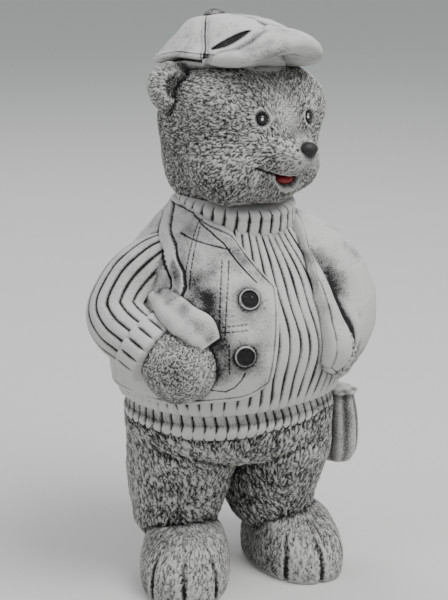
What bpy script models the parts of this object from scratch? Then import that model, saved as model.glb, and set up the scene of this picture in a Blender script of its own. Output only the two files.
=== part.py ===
# Bear garden statue: one solid casting of a standing bear in a flat cap, a ribbed
# polo-neck jumper and an open waistcoat, on its own flat soles.
# The bear's chest faces -Y and its right side is -X. Lengths are in metres.
# The figure's pose and proportions are shares of its height, written in parts of
# 1/380 of it. Sizes of the clothes' make that can be set alone are in metres.

import math

import bmesh
import bpy
import numpy as np
from mathutils import Vector

STATUE_HEIGHT = 0.380
PARTS_IN_HEIGHT = 380
PART = STATUE_HEIGHT / PARTS_IN_HEIGHT

JUMPER_RIBS = 58
RIB_DEPTH = 0.0017
SLEEVE_RIBS = 15
COLLAR_RIBS = 34
COLLAR_THICKNESS = 0.0045
WAISTCOAT_THICKNESS = 0.0032
BUTTON_DIAMETER = 0.0135
BUTTON_HEIGHT = 0.0016
CUFF_WIDTH = 0.015
CUFF_THICKNESS = 0.003
VISOR_THICKNESS = 0.017
EYE_DIAMETER = 0.0085
CAP_BUTTON_DIAMETER = 0.015
SACK_PLEATS = 9
SACK_PLEAT_DEPTH = 0.0018
TRIANGLES = 9700
SHORTEST_EDGE = 0.00001
THIN_OUT_STEP = 130

LOWER_BODY_TURN = -0.33
HEAD_TURN = 0.13
HEAD_LEAN = 0.08
RIGHT_FOOT_TURN = -0.62
LEFT_FOOT_TURN = -0.22

HEAD_PLACE = (0.5, -7.5, 303)
CAP_PLACE = (-1, 5, 0)
CAP_TURN = 0.02

FRONT_EDGE_RIGHT = math.radians(-8)
FRONT_EDGE_LEFT = math.radians(15)

# Height, half width, depth in front and depth behind, in parts.
TORSO_SECTIONS = [
    (127, 75, 64.5, 65), (136, 76, 68, 66), (148, 77, 72, 67.5), (165, 77, 76, 69),
    (185, 75, 74, 68), (205, 69, 66, 63), (225, 59, 54, 55), (240, 46, 43, 45),
    (252, 35, 34, 36), (262, 31, 31, 32),
]
HIP_SECTIONS = [
    (79, 42, 28, 34), (83, 56, 42, 46), (89, 65, 51, 54), (96, 69.5, 57, 59),
    (107, 71.5, 60, 61), (118, 70.5, 59.5, 60.5), (124, 66, 56, 57),
]
# Height, how far the right and the left leg stand from the middle, half width across
# and half depth, in parts.
LEG_SECTIONS = [
    (27, 39.5, 31, 23, 25), (33, 39, 30, 27, 29), (43, 38, 28.5, 30, 33),
    (55, 37, 29, 32.5, 37), (70, 35.5, 30.5, 35, 42), (86, 33, 32, 37.5, 48),
    (100, 33, 33, 36, 46),
]
SQUARENESS = 2.3


def parts(values):
    return np.asarray(values, float) * PART


def smooth_through(stations, values, at):
    """Reads a smooth cubic through the stations; each value may be a row."""
    stations = np.asarray(stations, float)
    values = np.asarray(values, float)
    at = np.clip(np.asarray(at, float), stations[0], stations[-1])
    slopes = np.gradient(values, stations, axis=0)
    index = np.clip(np.searchsorted(stations, at) - 1, 0, len(stations) - 2)
    span = stations[index + 1] - stations[index]
    t = (at - stations[index]) / span
    if values.ndim > 1:
        span = span[..., None]
        t = t[..., None]
    start = values[index]
    end = values[index + 1]
    return (
        (1 + 2 * t) * (1 - t) ** 2 * start + t * (1 - t) ** 2 * span * slopes[index]
        + t ** 2 * (3 - 2 * t) * end + t ** 2 * (t - 1) * span * slopes[index + 1]
    )


def section_radius(angle, half_width, front, back):
    """Radius of a squarish oval; angle 0 is the front, and it grows to the left."""
    depth = np.where(np.cos(angle) > 0, front, back)
    across = np.abs(np.sin(angle) / half_width) ** SQUARENESS
    along = np.abs(np.cos(angle) / depth) ** SQUARENESS
    return (across + along) ** (-1 / SQUARENESS)


def around(angle, radius, height):
    """Points at an angle and radius about a vertical axis."""
    return np.stack([np.sin(angle) * radius, -np.cos(angle) * radius, height], axis=-1)


def turned(points, angle, place=(0, 0, 0)):
    """Turns points about the vertical axis towards the bear's left, then moves them."""
    c = math.cos(angle)
    s = math.sin(angle)
    turn = np.array([[c, -s, 0], [s, c, 0], [0, 0, 1]])
    return points @ turn.T + parts(place)


def torso_surface(angle, height, outward=0.0):
    """Points on the torso, moved outward along its true normal."""
    def at(a, h):
        size = smooth_through(*TORSO_TABLE, h)
        return around(a, section_radius(a, size[..., 0], size[..., 1], size[..., 2]), h)
    step = 1e-4
    place = at(angle, height)
    sideways = at(angle + step, height) - place
    upward = at(angle, height + step * PART) - place
    normal = np.cross(sideways, upward)
    normal /= np.linalg.norm(normal, axis=-1, keepdims=True)
    return place + normal * np.asarray(outward)[..., None]


def bump(value, centre, reach):
    """A smooth hump of height 1 at the centre that falls to 0 at its reach."""
    x = np.clip(np.abs(np.asarray(value) - centre) / reach, 0, 1)
    return (1 - x ** 2) ** 2


def table(sections):
    rows = np.array(sections, float) * PART
    return rows[:, 0], rows[:, 1:]


TORSO_TABLE = table(TORSO_SECTIONS)
HIP_TABLE = table(HIP_SECTIONS)
LEG_TABLE = table(LEG_SECTIONS)


def new_form(name, points, faces):
    mesh = bpy.data.meshes.new(name)
    mesh.from_pydata([tuple(p) for p in points], [], faces)
    obj = bpy.data.objects.new(name, mesh)
    bpy.context.scene.collection.objects.link(obj)
    solid = bmesh.new()
    solid.from_mesh(mesh)
    bmesh.ops.triangulate(solid, faces=solid.faces)
    bmesh.ops.recalc_face_normals(solid, faces=solid.faces)
    if solid.calc_volume(signed=True) < 0:
        bmesh.ops.reverse_faces(solid, faces=solid.faces)
    solid.to_mesh(mesh)
    solid.free()
    return obj


def ring_skin(name, rings):
    """A closed skin over a stack of rings of equal length, with a fan at each end."""
    count = len(rings[0])
    points = np.concatenate([*rings, rings[0].mean(axis=0)[None], rings[-1].mean(axis=0)[None]])
    faces = []
    for row in range(len(rings) - 1):
        for column in range(count):
            following = (column + 1) % count
            a = row * count + column
            b = row * count + following
            faces.append((a, b, b + count, a + count))
    bottom = len(points) - 2
    top = len(points) - 1
    last = (len(rings) - 1) * count
    for column in range(count):
        following = (column + 1) % count
        faces.append((bottom, following, column))
        faces.append((top, last + column, last + following))
    return new_form(name, points, faces)


def shell(name, outer, inner):
    """A closed sheet between two grids of points of the same shape."""
    rows, columns = outer.shape[:2]
    points = np.concatenate([outer.reshape(-1, 3), inner.reshape(-1, 3)])
    behind = rows * columns
    faces = []
    for r in range(rows - 1):
        for c in range(columns - 1):
            a = r * columns + c
            faces.append((a, a + 1, a + columns + 1, a + columns))
            faces.append((a + behind, a + columns + behind, a + columns + 1 + behind, a + 1 + behind))
    edge = [r * columns for r in range(rows)]
    edge += [(rows - 1) * columns + c for c in range(1, columns)]
    edge += [r * columns + columns - 1 for r in range(rows - 2, -1, -1)]
    edge += [c for c in range(columns - 2, 0, -1)]
    for a, b in zip(edge, edge[1:] + edge[:1]):
        faces.append((a, b, b + behind, a + behind))
    return new_form(name, points, faces)


def globe_directions(columns, rows):
    """Rings of unit directions from below to above."""
    rings = []
    for row in range(1, rows):
        rise = -math.cos(math.pi * row / rows)
        out = math.sqrt(1 - rise * rise)
        angle = np.arange(columns) * 2 * math.pi / columns
        rings.append(np.stack([np.sin(angle) * out, -np.cos(angle) * out, np.full(columns, rise)], axis=-1))
    return rings


def ball_distance(points, centre, radii):
    """Nearly the distance to an ellipsoid, negative inside it."""
    local = (points - parts(centre)) / parts(radii)
    near = np.linalg.norm(local, axis=-1)
    slope = np.linalg.norm(local / parts(radii), axis=-1)
    return near * (near - 1) / np.maximum(slope, 1e-9)


def blended(first, second, width):
    """Smooth union of two distances."""
    mix = np.clip(0.5 + 0.5 * (second - first) / width, 0, 1)
    return second * (1 - mix) + first * mix - width * mix * (1 - mix)


def skin_reach(directions, balls, blend, dents=()):
    """How far each direction runs from the origin to the skin of blended balls."""
    near = np.zeros(len(directions))
    far = np.full(len(directions), 0.25 * STATUE_HEIGHT)
    for _ in range(26):
        middle = (near + far) / 2
        points = directions * middle[:, None]
        distance = ball_distance(points, *balls[0])
        for ball in balls[1:]:
            distance = blended(distance, ball_distance(points, *ball), blend * PART)
        for dent in dents:
            distance = -blended(-distance, ball_distance(points, *dent), blend * 0.3 * PART)
        near = np.where(distance < 0, middle, near)
        far = np.where(distance < 0, far, middle)
    return far


def blended_skin(name, balls, blend, columns, rows, dents=()):
    rings = []
    for ring in globe_directions(columns, rows):
        rings.append(ring * skin_reach(ring, balls, blend, dents)[:, None])
    return ring_skin(name, rings)


def tube_rings(path, radii, columns, ribs=0, squash=1.0):
    """Rings across a path; ribs are grooves that run along it."""
    path = np.asarray(path, float)
    forward = np.gradient(path, axis=0)
    forward /= np.linalg.norm(forward, axis=1, keepdims=True)
    side = np.cross(forward[0], (0, 0, 1.0))
    if np.linalg.norm(side) < 0.1:
        side = np.array([1.0, 0, 0])
    rings = []
    angle = np.arange(columns) * 2 * math.pi / columns
    groove = RIB_DEPTH * (1 - np.abs(np.sin(angle * ribs / 2))) if ribs else 0
    for centre, ahead, radius in zip(path, forward, radii):
        side = side - ahead * side.dot(ahead)
        side /= np.linalg.norm(side)
        up = np.cross(side, ahead)
        out = (radius - groove)
        ring = np.outer(np.cos(angle) * out, side) + np.outer(np.sin(angle) * out * squash, up)
        rings.append(centre + ring)
    return rings


def torso_form():
    rows = 10
    angle = np.arange(JUMPER_RIBS * 2) * math.pi / JUMPER_RIBS
    groove = 1 - np.abs(np.sin(JUMPER_RIBS * angle / 2))
    rings = []
    for height in np.linspace(TORSO_SECTIONS[0][0], TORSO_SECTIONS[-1][0], rows) * PART:
        level = np.full(len(angle), height)
        rings.append(torso_surface(angle, level, -RIB_DEPTH * groove))
    return ring_skin("torso", rings)


def welt_form():
    """The ribbed band at the jumper's foot, drawn in under the hem."""
    angle = np.arange(JUMPER_RIBS * 2) * math.pi / JUMPER_RIBS
    groove = RIB_DEPTH * (1 - np.abs(np.sin(JUMPER_RIBS * angle / 2)))
    rings = []
    for height, outward in ((109, -9), (112, 0.6), (124, 1.2), (131, -2)):
        size = smooth_through(*HIP_TABLE, min(height, 119) * PART)
        radius = section_radius(angle, *size) + outward * PART - groove
        rings.append(around(angle, radius, np.full(len(angle), height * PART)))
    return ring_skin("welt", rings)


def collar_form():
    """The polo neck: a rolled ribbed band that is lower in front."""
    columns = COLLAR_RIBS * 2
    angle = np.arange(columns) * 2 * math.pi / columns
    groove = RIB_DEPTH * (1 - np.abs(np.sin(COLLAR_RIBS * angle / 2)))
    rings = []
    for rise, swell in ((-13, -0.9), (-11, 0.5), (-4, 1), (5, 1), (11, 0.5), (12, -0.9)):
        radius = 34.5 * PART + COLLAR_THICKNESS * swell - groove * max(swell, 0)
        height = (251 + rise) * PART - parts(6) * np.cos(angle)
        rings.append(around(angle, radius, height) + parts((2, -5, 0)))
    return ring_skin("collar", rings)


def arm_bulge(angle, height):
    """How far the left arm under the waistcoat lifts it off the torso, with its folds."""
    over_arm = bump(angle, math.radians(63), math.radians(51))
    level = np.asarray(height) / PART
    along = np.interp(level, (134, 150, 168, 186, 205, 226, 246), (2, 7, 16, 20, 18, 11, 0))
    edge = 3.5 * bump(angle, math.radians(19), math.radians(8)) * bump(level, 195, 50)
    hollow = 8 * bump(angle, math.radians(32), math.radians(10)) * bump(level, 201, 26)
    crease = 4 * bump(angle, math.radians(30), math.radians(4)) * bump(level, 176, 28)
    return (over_arm * along + edge - hollow - crease) * PART


def waistcoat_form():
    """One shell from the right front edge round the back to the left front edge."""
    rows = 10
    start = math.degrees(FRONT_EDGE_RIGHT)
    end = math.degrees(FRONT_EDGE_LEFT) - 360
    degrees = np.concatenate([np.linspace(start, -90, 9), np.linspace(-106, -250, 9), np.linspace(-262, end, 20)])
    angle = np.radians(degrees)
    top = np.interp(
        degrees,
        (-345, -341, -337, -325, -310, -290, -262, -85, -34, -15, -8),
        (198, 216, 230, 243, 251, 256, 258, 258, 244, 219, 209),
    )
    bottom = np.interp(
        degrees,
        (-345, -338, -331, -326, -320, -312, -300, -262, -70, -41, -27, -20, -14, -10, -8),
        (186, 186, 183, 174, 158, 150, 145, 133, 134, 138.5, 139.5, 141.5, 145.5, 150, 157),
    )
    share = np.linspace(0, 1, rows)[:, None]
    height = (bottom + (top - bottom) * share) * PART
    slant = np.interp(height / PART, (150, 179, 209), (6.5, 3.5, 0))
    spread = angle - np.radians(slant) * bump(angle, FRONT_EDGE_RIGHT, math.radians(40))
    lift = arm_bulge(spread + 2 * math.pi, height)
    outer = torso_surface(spread, height, WAISTCOAT_THICKNESS + lift)
    inner = torso_surface(spread, height, np.full(height.shape, -6 * PART))
    return shell("waistcoat", outer, inner)


def button_forms():
    forms = []
    for angle, height in ((-26, 204), (-29, 171)):
        a = math.radians(angle)
        level = height * PART
        place = torso_surface(np.array([a]), np.array([level]), WAISTCOAT_THICKNESS)[0]
        beyond = torso_surface(np.array([a]), np.array([level]), WAISTCOAT_THICKNESS + 0.01)[0]
        out = (beyond - place) / 0.01
        path = [place - out * 0.004, place, place + out * BUTTON_HEIGHT * 0.6, place + out * BUTTON_HEIGHT]
        radius = BUTTON_DIAMETER / 2
        forms.append(ring_skin("button", tube_rings(path, (radius, radius, radius, radius * 0.82), 12)))
    return forms


def hips_form():
    angle = np.arange(32) * 2 * math.pi / 32
    rings = []
    for height in HIP_TABLE[0]:
        size = smooth_through(*HIP_TABLE, height)
        share = (HIP_TABLE[0][-1] - height) / (HIP_TABLE[0][-1] - HIP_TABLE[0][0])
        turn = LOWER_BODY_TURN * share
        ring = around(angle, section_radius(angle - turn, *size), np.full(32, height))
        rings.append(ring)
    return ring_skin("hips", rings)


def leg_form(side):
    angle = np.arange(20) * 2 * math.pi / 20
    rings = []
    for height in LEG_TABLE[0]:
        size = smooth_through(*LEG_TABLE, height)
        radius = section_radius(angle, size[2], size[3], size[3])
        ring = around(angle, radius, np.full(20, height))
        ring[:, 0] += size[1] if side > 0 else -size[0]
        rings.append(turned(ring, LOWER_BODY_TURN))
    return ring_skin("leg", rings)


def foot_form(place, turn):
    """A broad paw on a flat sole, with three grooves between its four toes."""
    columns = 30
    angle = np.arange(columns) * 2 * math.pi / columns
    toes = np.zeros(columns)
    for toe_edge in (-28, 0, 28):
        toes += bump(np.degrees((angle + math.pi) % (2 * math.pi) - math.pi), toe_edge, 9)
    profile = (
        (0, 0.94, 0.95), (4, 0.99, 1), (12, 1, 1), (21, 0.97, 0.93), (29, 0.9, 0.76),
        (36, 0.8, 0.52), (41, 0.5, 0.26),
    )
    rings = []
    for height, share, forward in profile:
        radius = section_radius(angle, 30.5 * share, 53 * forward, 44 * share) * PART
        radius = radius - toes * parts(3.5) * (1 - height / 44)
        rings.append(turned(around(angle, radius, np.full(columns, height * PART)), turn, place))
    return ring_skin("foot", rings)


HEAD_BALLS = [
    ((0, 0, 4), (53, 50, 48)),
    ((-25, -19, -19), (29, 28, 27)), ((22, -18, -17), (27, 27, 25)),
    ((0, 12, -24), (43, 37, 34)),
    ((0, -42, -9), (22, 26, 15)),
    ((0, -30, -30), (19, 19, 14)),
    ((-26, -13, 18), (28, 27, 26)), ((27, -13, 18), (31, 30, 27)),
]
HEAD_BLEND = 9


def on_head(across, up, lift=0.0):
    """A point on the head's skin, by its slopes across and up from straight ahead."""
    direction = np.array([[across, -1.0, up]])
    direction /= np.linalg.norm(direction)
    return direction[0] * (skin_reach(direction, HEAD_BALLS, HEAD_BLEND)[0] + lift * PART)


def head_form():
    return place_head_form(blended_skin("head", HEAD_BALLS, HEAD_BLEND, 30, 20), (0, 0, 0))


def on_figure_head(points):
    """Takes points about the head's centre to the figure, leaning a little to its left."""
    leant = points.copy()
    leant[:, 2] -= HEAD_LEAN * points[:, 0]
    return turned(leant, HEAD_TURN, HEAD_PLACE)


def place_head_form(obj, place, turn=0.0):
    """Moves a form made about the head's own centre to its place on the figure."""
    points = np.array([v.co for v in obj.data.vertices])
    points = on_figure_head(turned(points, turn, place))
    for vertex, point in zip(obj.data.vertices, points):
        vertex.co = point
    return obj


def ear_form(side):
    balls = [((0, 0, 0), (17, 9, 16.5))]
    dents = [((0, -12.5, 1), (11, 8, 11))]
    ear = blended_skin("ear", balls, 6, 14, 9, dents)
    return place_head_form(ear, (side * 50, 8, 28), side * 0.2)


def nose_form():
    nose = blended_skin("nose", [((0, 0, 0), (6.6, 5, 5))], 3, 10, 7)
    return place_head_form(nose, on_head(0, -0.07, -1) / PART)


def eye_form(side):
    radius = EYE_DIAMETER / 2 / PART
    eye = blended_skin("eye", [((0, 0, 0), (radius, radius, radius))], 3, 8, 6)
    return place_head_form(eye, on_head(side * 0.46, 0.29, -1.5) / PART)


def mouth_cutter():
    """The smile: a slit that widens to an open mouth in the middle."""
    path = []
    for across in np.linspace(-0.62, 0.62, 9):
        path.append(on_head(across, -0.49 + 0.22 * abs(across) ** 1.5, 0.6))
    widths = parts([0.9, 1.3, 1.8, 3.4, 4.2, 3.4, 1.8, 1.3, 0.9])
    return place_head_form(ring_skin("mouth", tube_rings(path, widths, 6)), (0, 0, 0))


def place_cap_form(ring):
    return on_figure_head(turned(ring, CAP_TURN, CAP_PLACE))


# Rise over the head's brow, half width, reach in front, reach behind and how far the
# ring's middle lies back, in parts. The crown puffs out over its band.
CAP_CROWN_SECTIONS = [
    (-12, 29, 31, 30, 0), (-1.5, 40, 42, 41, 0), (1, 40.5, 42.5, 41.5, 0),
    (3, 46.5, 49.5, 47, 0), (6, 46, 53, 46.5, 0.5), (9, 42.5, 53, 42.5, 1.5),
    (14, 37.7, 54, 35.5, 4), (18.4, 33.4, 54, 29, 6), (23, 29, 51, 23.5, 8),
    (26.3, 25, 43.5, 17, 10), (28.6, 20, 35.5, 11.5, 11.5), (29.6, 12, 24, 7, 13),
    (30, 3, 4, 3, 14),
]
BROW_HEIGHT = 45
CROWN_DROOP = 0.2


def cap_crown_form():
    """Eight panels that run from a narrow band up to the button at the back."""
    columns = 32
    angle = np.arange(columns) * 2 * math.pi / columns
    panel_seams = bump(np.abs((angle / (math.pi / 4)) % 1 - 0.5), 0.5, 0.2)
    rings = []
    for rise, half, front, back, middle in CAP_CROWN_SECTIONS:
        radius = section_radius(angle, half, front, back) * PART
        radius = radius - panel_seams * parts(0.9) * (half > 15)
        arch = 11 * bump(angle, 0, math.radians(65)) + 11 * bump(angle, 2 * math.pi, math.radians(65))
        height = parts(BROW_HEIGHT + rise + arch * max(0, min(1, (9 - rise) / 9)))
        ring = around(angle, radius, height) + parts((0, middle, 0))
        ring[:, 2] -= CROWN_DROOP * np.maximum(ring[:, 1], 0)
        rings.append(place_cap_form(ring))
    return ring_skin("cap_crown", rings)


def cap_visor_form():
    """A thick rounded peak round the crown's front, arched underneath."""
    rings = []
    for angle in np.radians(np.linspace(-66, 66, 15)):
        swell = math.cos(angle * 90 / 70)
        reach = 46 + 20 * swell
        low = (43.5 + 10 * bump(angle, 0, math.radians(40))) * PART
        half = VISOR_THICKNESS * (0.2 + 0.8 * swell ** 0.7) / 2
        turn = np.linspace(0, math.pi, 9)
        radius = (28 + (reach - 28) * np.sin(turn) ** 0.6) * PART
        height = low + half + half * np.sign(np.cos(turn)) * np.abs(np.cos(turn)) ** 0.8
        rings.append(place_cap_form(around(np.full(9, angle), radius, height)))
    return ring_skin("cap_visor", rings)


def cap_button_form():
    radius = CAP_BUTTON_DIAMETER / 2 / PART
    button = blended_skin("cap_button", [((0, 0, 0), (radius, radius, radius * 0.6))], 3, 12, 6)
    return place_head_form(button, (-1, 19, 72.4))


# The middle of each arm from shoulder to wrist, in parts.
RIGHT_ARM = [
    (-40, 5, 224), (-52, 6, 221), (-63, 7, 214.5), (-73, 8, 206), (-81, 7, 197),
    (-86, 4, 189), (-86.5, -3, 183), (-84, -10, 178.5), (-80.5, -18, 174),
]
LEFT_ARM = [
    (38, 3, 228), (54, 7, 224), (68, 9, 212), (79, 8, 198), (84, 3, 184),
    (82, -9, 173), (73, -28, 165), (58, -48, 162),
]
RIGHT_ARM_RADII = (14, 20, 20.5, 21, 20)
LEFT_ARM_RADII = (14, 17.5, 17.5, 17.5, 16)


def sleeve_form(name, route, arm_radii):
    stations = np.linspace(0, 1, len(route))
    along = np.linspace(0, 1, 11)
    path = smooth_through(stations, parts(route), along)
    radii = smooth_through(np.linspace(0, 1, len(arm_radii)), parts(arm_radii), along)
    return ring_skin(name, tube_rings(path, radii, SLEEVE_RIBS * 2, ribs=SLEEVE_RIBS))


def cuff_form():
    """The turned-back ribbed cuff between sleeve and paw."""
    wrist = parts(RIGHT_ARM[-1])
    ahead = wrist - parts(RIGHT_ARM[-3])
    ahead /= np.linalg.norm(ahead)
    steps = np.array([-0.55, -0.5, 0, 0.5, 0.55]) * CUFF_WIDTH
    path = [wrist + ahead * s for s in steps]
    full = RIGHT_ARM_RADII[-1] * PART + CUFF_THICKNESS
    radii = (full * 0.8, full * 0.97, full, full * 0.97, full * 0.8)
    return ring_skin("cuff", tube_rings(path, radii, SLEEVE_RIBS * 2, ribs=SLEEVE_RIBS))


def paw_form():
    balls = [((0, 0, 0), (24.5, 23, 24.5)), ((-6, 8, 2), (18, 18, 18))]
    paw = blended_skin("paw", balls, 6, 18, 11)
    points = np.array([v.co for v in paw.data.vertices])
    for vertex, point in zip(paw.data.vertices, turned(points, -0.9, (-70, -43, 163))):
        vertex.co = point
    return paw


def fold_form():
    """The waistcoat's side, bunched up over the right paw."""
    path = parts([(-66, -14, 204), (-68, -29, 199), (-66, -43, 192), (-60, -54, 184), (-55, -60, 175)])
    return ring_skin("fold", tube_rings(path, parts([6, 9, 11, 12, 8]), 12))


def left_paw_form():
    paw = blended_skin("left_paw", [((0, 0, 0), (14, 12, 21))], 6, 14, 10)
    points = np.array([v.co for v in paw.data.vertices])
    for vertex, point in zip(paw.data.vertices, turned(points, 0.5, (41, -66, 162))):
        vertex.co = point
    return paw


# Height and share of the full girth.
SACK_SECTIONS = [
    (60, 0.35), (62, 0.7), (70, 0.95), (82, 1), (95, 0.95), (105, 0.85), (110, 0.8),
    (113, 0.95), (115, 0.6),
]


def sack_form():
    """A small gathered sack that hangs at the left thigh."""
    columns = SACK_PLEATS * 2
    angle = np.arange(columns) * 2 * math.pi / columns
    pleats = SACK_PLEAT_DEPTH * (0.5 - 0.5 * np.cos(SACK_PLEATS * angle))
    rings = []
    for height, share in SACK_SECTIONS:
        radius = section_radius(angle, 13 * share, 19 * share, 19 * share) * PART - pleats * share
        rings.append(turned(around(angle, radius, np.full(columns, height * PART)), 0.15, (81, -15, 0)))
    return ring_skin("sack", rings)


def cast_stone():
    material = bpy.data.materials.new("cast_stone")
    material.use_nodes = True
    shader = material.node_tree.nodes["Principled BSDF"]
    shader.inputs["Base Color"].default_value = (0.42, 0.41, 0.40, 1)
    shader.inputs["Roughness"].default_value = 0.85
    shader.inputs["Metallic"].default_value = 0
    return material


def all_forms():
    forms = [welt_form(), collar_form(), waistcoat_form(), hips_form()]
    forms += button_forms()
    forms += [leg_form(-1), leg_form(1)]
    forms += [foot_form((-45, -11.5, 0), RIGHT_FOOT_TURN), foot_form((35, -23.5, 0), LEFT_FOOT_TURN)]
    forms += [head_form(), ear_form(-1), ear_form(1), nose_form(), eye_form(-1), eye_form(1)]
    forms += [cap_crown_form(), cap_visor_form(), cap_button_form()]
    forms += [sleeve_form("right_sleeve", RIGHT_ARM, RIGHT_ARM_RADII), cuff_form(), paw_form(), fold_form()]
    forms += [sleeve_form("left_sleeve", LEFT_ARM, LEFT_ARM_RADII), left_paw_form(), sack_form()]
    return forms


def combine(base, forms, operation):
    """Joins the forms to the base, or cuts them away, as one closed body."""
    group = bpy.data.collections.new("forms")
    for form in forms:
        group.objects.link(form)
    union = base.modifiers.new(operation, 'BOOLEAN')
    union.operation = operation
    union.solver = 'EXACT'
    union.operand_type = 'COLLECTION'
    union.collection = group
    depsgraph = bpy.context.evaluated_depsgraph_get()
    whole = bpy.data.meshes.new_from_object(base.evaluated_get(depsgraph))
    base.modifiers.clear()
    base.data = whole
    for form in forms:
        bpy.data.objects.remove(form)
    bpy.data.collections.remove(group)
    return base


def is_closed(mesh_data):
    mesh = bmesh.new()
    mesh.from_mesh(mesh_data)
    closed = all(len(edge.link_faces) == 2 for edge in mesh.edges)
    mesh.free()
    return closed


def thin_out(obj, most):
    """Collapses slivers and flat runs down to the wanted number of triangles."""
    mesh = bmesh.new()
    mesh.from_mesh(obj.data)
    bmesh.ops.remove_doubles(mesh, verts=mesh.verts, dist=SHORTEST_EDGE)
    bmesh.ops.triangulate(mesh, faces=mesh.faces)
    mesh.to_mesh(obj.data)
    mesh.free()
    fewer = obj.modifiers.new("thin out", 'DECIMATE')
    for wanted in range(most, most // 2, -THIN_OUT_STEP):
        fewer.ratio = min(1, wanted / len(obj.data.polygons))
        depsgraph = bpy.context.evaluated_depsgraph_get()
        thinned = bpy.data.meshes.new_from_object(obj.evaluated_get(depsgraph))
        if is_closed(thinned):
            break
    obj.modifiers.clear()
    obj.data = thinned


def stand_on_origin(obj):
    """Puts the middle of the figure's plan, at sole level, on the origin."""
    corners = np.array([v.co for v in obj.data.vertices])
    low = corners.min(axis=0)
    high = corners.max(axis=0)
    shift = Vector(((low[0] + high[0]) / -2, (low[1] + high[1]) / -2, -low[2]))
    for vertex in obj.data.vertices:
        vertex.co += shift


def main():
    for obj in list(bpy.data.objects):
        bpy.data.objects.remove(obj)
    bear = combine(torso_form(), all_forms(), 'UNION')
    bear = combine(bear, [mouth_cutter()], 'DIFFERENCE')
    thin_out(bear, TRIANGLES)
    bear.name = "bear"
    bear.data.materials.clear()
    bear.data.materials.append(cast_stone())
    stand_on_origin(bear)


main()
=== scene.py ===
import math

import bpy
import numpy as np
from mathutils import Matrix, Vector
from mathutils.bvhtree import BVHTree
from mathutils.kdtree import KDTree


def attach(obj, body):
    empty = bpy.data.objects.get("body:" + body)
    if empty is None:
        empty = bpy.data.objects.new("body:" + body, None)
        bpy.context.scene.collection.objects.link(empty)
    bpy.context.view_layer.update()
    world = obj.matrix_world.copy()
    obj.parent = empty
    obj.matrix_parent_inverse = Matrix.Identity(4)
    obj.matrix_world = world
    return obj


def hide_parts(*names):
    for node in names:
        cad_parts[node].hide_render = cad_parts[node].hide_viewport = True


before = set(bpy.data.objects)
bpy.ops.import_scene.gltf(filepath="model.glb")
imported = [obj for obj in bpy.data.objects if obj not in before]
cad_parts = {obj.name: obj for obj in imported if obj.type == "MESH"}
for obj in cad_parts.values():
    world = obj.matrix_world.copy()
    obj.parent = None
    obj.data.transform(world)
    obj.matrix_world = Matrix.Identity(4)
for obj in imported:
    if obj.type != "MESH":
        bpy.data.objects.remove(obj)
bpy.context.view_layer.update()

figure = {
    "height": 0.380,                # metres, to the top of the cap's button
    "partsInHeight": 380,
    "axisShift": (2.97, 3.19, 0),   # moves the figure's axis to the middle of its box
    "lowerBodyTurn": -0.33,         # radians
    "headTurn": 0.13,
    "headLean": 0.08,               # how much the head drops towards its left
    "headPlace": (0.5, -7.5, 303),
    "squareness": 2.3,
    # height, half width, depth in front, depth behind
    "torso": [
        (127, 75, 64.5, 65), (136, 76, 68, 66), (148, 77, 72, 67.5), (165, 77, 76, 69),
        (185, 75, 74, 68), (205, 69, 66, 63), (225, 59, 54, 55), (240, 46, 43, 45),
        (252, 35, 34, 36), (262, 31, 31, 32),
    ],
    "hips": [
        (79, 42, 28, 34), (83, 56, 42, 46), (89, 65, 51, 54), (96, 69.5, 57, 59),
        (107, 71.5, 60, 61), (118, 70.5, 59.5, 60.5), (124, 66, 56, 57),
    ],
    # height, right and left leg's distance from the middle, half width across, half depth
    "legs": [
        (27, 39.5, 31, 23, 25), (33, 39, 30, 27, 29), (43, 38, 28.5, 30, 33),
        (55, 37, 29, 32.5, 37), (70, 35.5, 30.5, 35, 42), (86, 33, 32, 37.5, 48),
        (100, 33, 33, 36, 46),
    ],
    # the middle of each arm from shoulder to wrist
    "rightArm": [
        (-40, 5, 224), (-52, 6, 221), (-63, 7, 214.5), (-73, 8, 206), (-81, 7, 197),
        (-86, 4, 189), (-86.5, -3, 183), (-84, -10, 178.5), (-80.5, -18, 174),
    ],
    "leftArm": [
        (38, 3, 228), (54, 7, 224), (68, 9, 212), (79, 8, 198), (84, 3, 184),
        (82, -9, 173), (73, -28, 165), (58, -48, 162),
    ],
    "rightArmRadii": (14, 20, 20.5, 21, 20),
    "leftArmRadii": (14, 17.5, 17.5, 17.5, 16),
}
part = figure["height"] / figure["partsInHeight"]
axisShift = np.array(figure["axisShift"])
fineness = 0.86
made = []                               # every piece of the statue, as it is made


# curves, sections and blends


def smoothThrough(stations, values, at):
    stations = np.asarray(stations, float)
    values = np.asarray(values, float)
    at = np.clip(np.asarray(at, float), stations[0], stations[-1])
    slopes = np.gradient(values, stations, axis=0)
    index = np.clip(np.searchsorted(stations, at) - 1, 0, len(stations) - 2)
    span = stations[index + 1] - stations[index]
    t = (at - stations[index]) / span
    if values.ndim > 1:
        span = span[..., None]
        t = t[..., None]
    start = values[index]
    end = values[index + 1]
    return ((1 + 2 * t) * (1 - t) ** 2 * start + t * (1 - t) ** 2 * span * slopes[index]
            + t ** 2 * (3 - 2 * t) * end + t ** 2 * (t - 1) * span * slopes[index + 1])


def sectionAt(sections, height):
    rows = np.array(sections, float)
    return smoothThrough(rows[:, 0], rows[:, 1:], height)


def sectionRadius(angle, halfWidth, front, back):
    depth = np.where(np.cos(angle) > 0, front, back)
    n = figure["squareness"]
    across = np.abs(np.sin(angle) / halfWidth) ** n
    along = np.abs(np.cos(angle) / depth) ** n
    return (across + along) ** (-1 / n)


def around(angle, radius, height):
    angle, radius, height = np.broadcast_arrays(angle, radius, height)
    return np.stack([np.sin(angle) * radius, -np.cos(angle) * radius, height], axis=-1)


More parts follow.
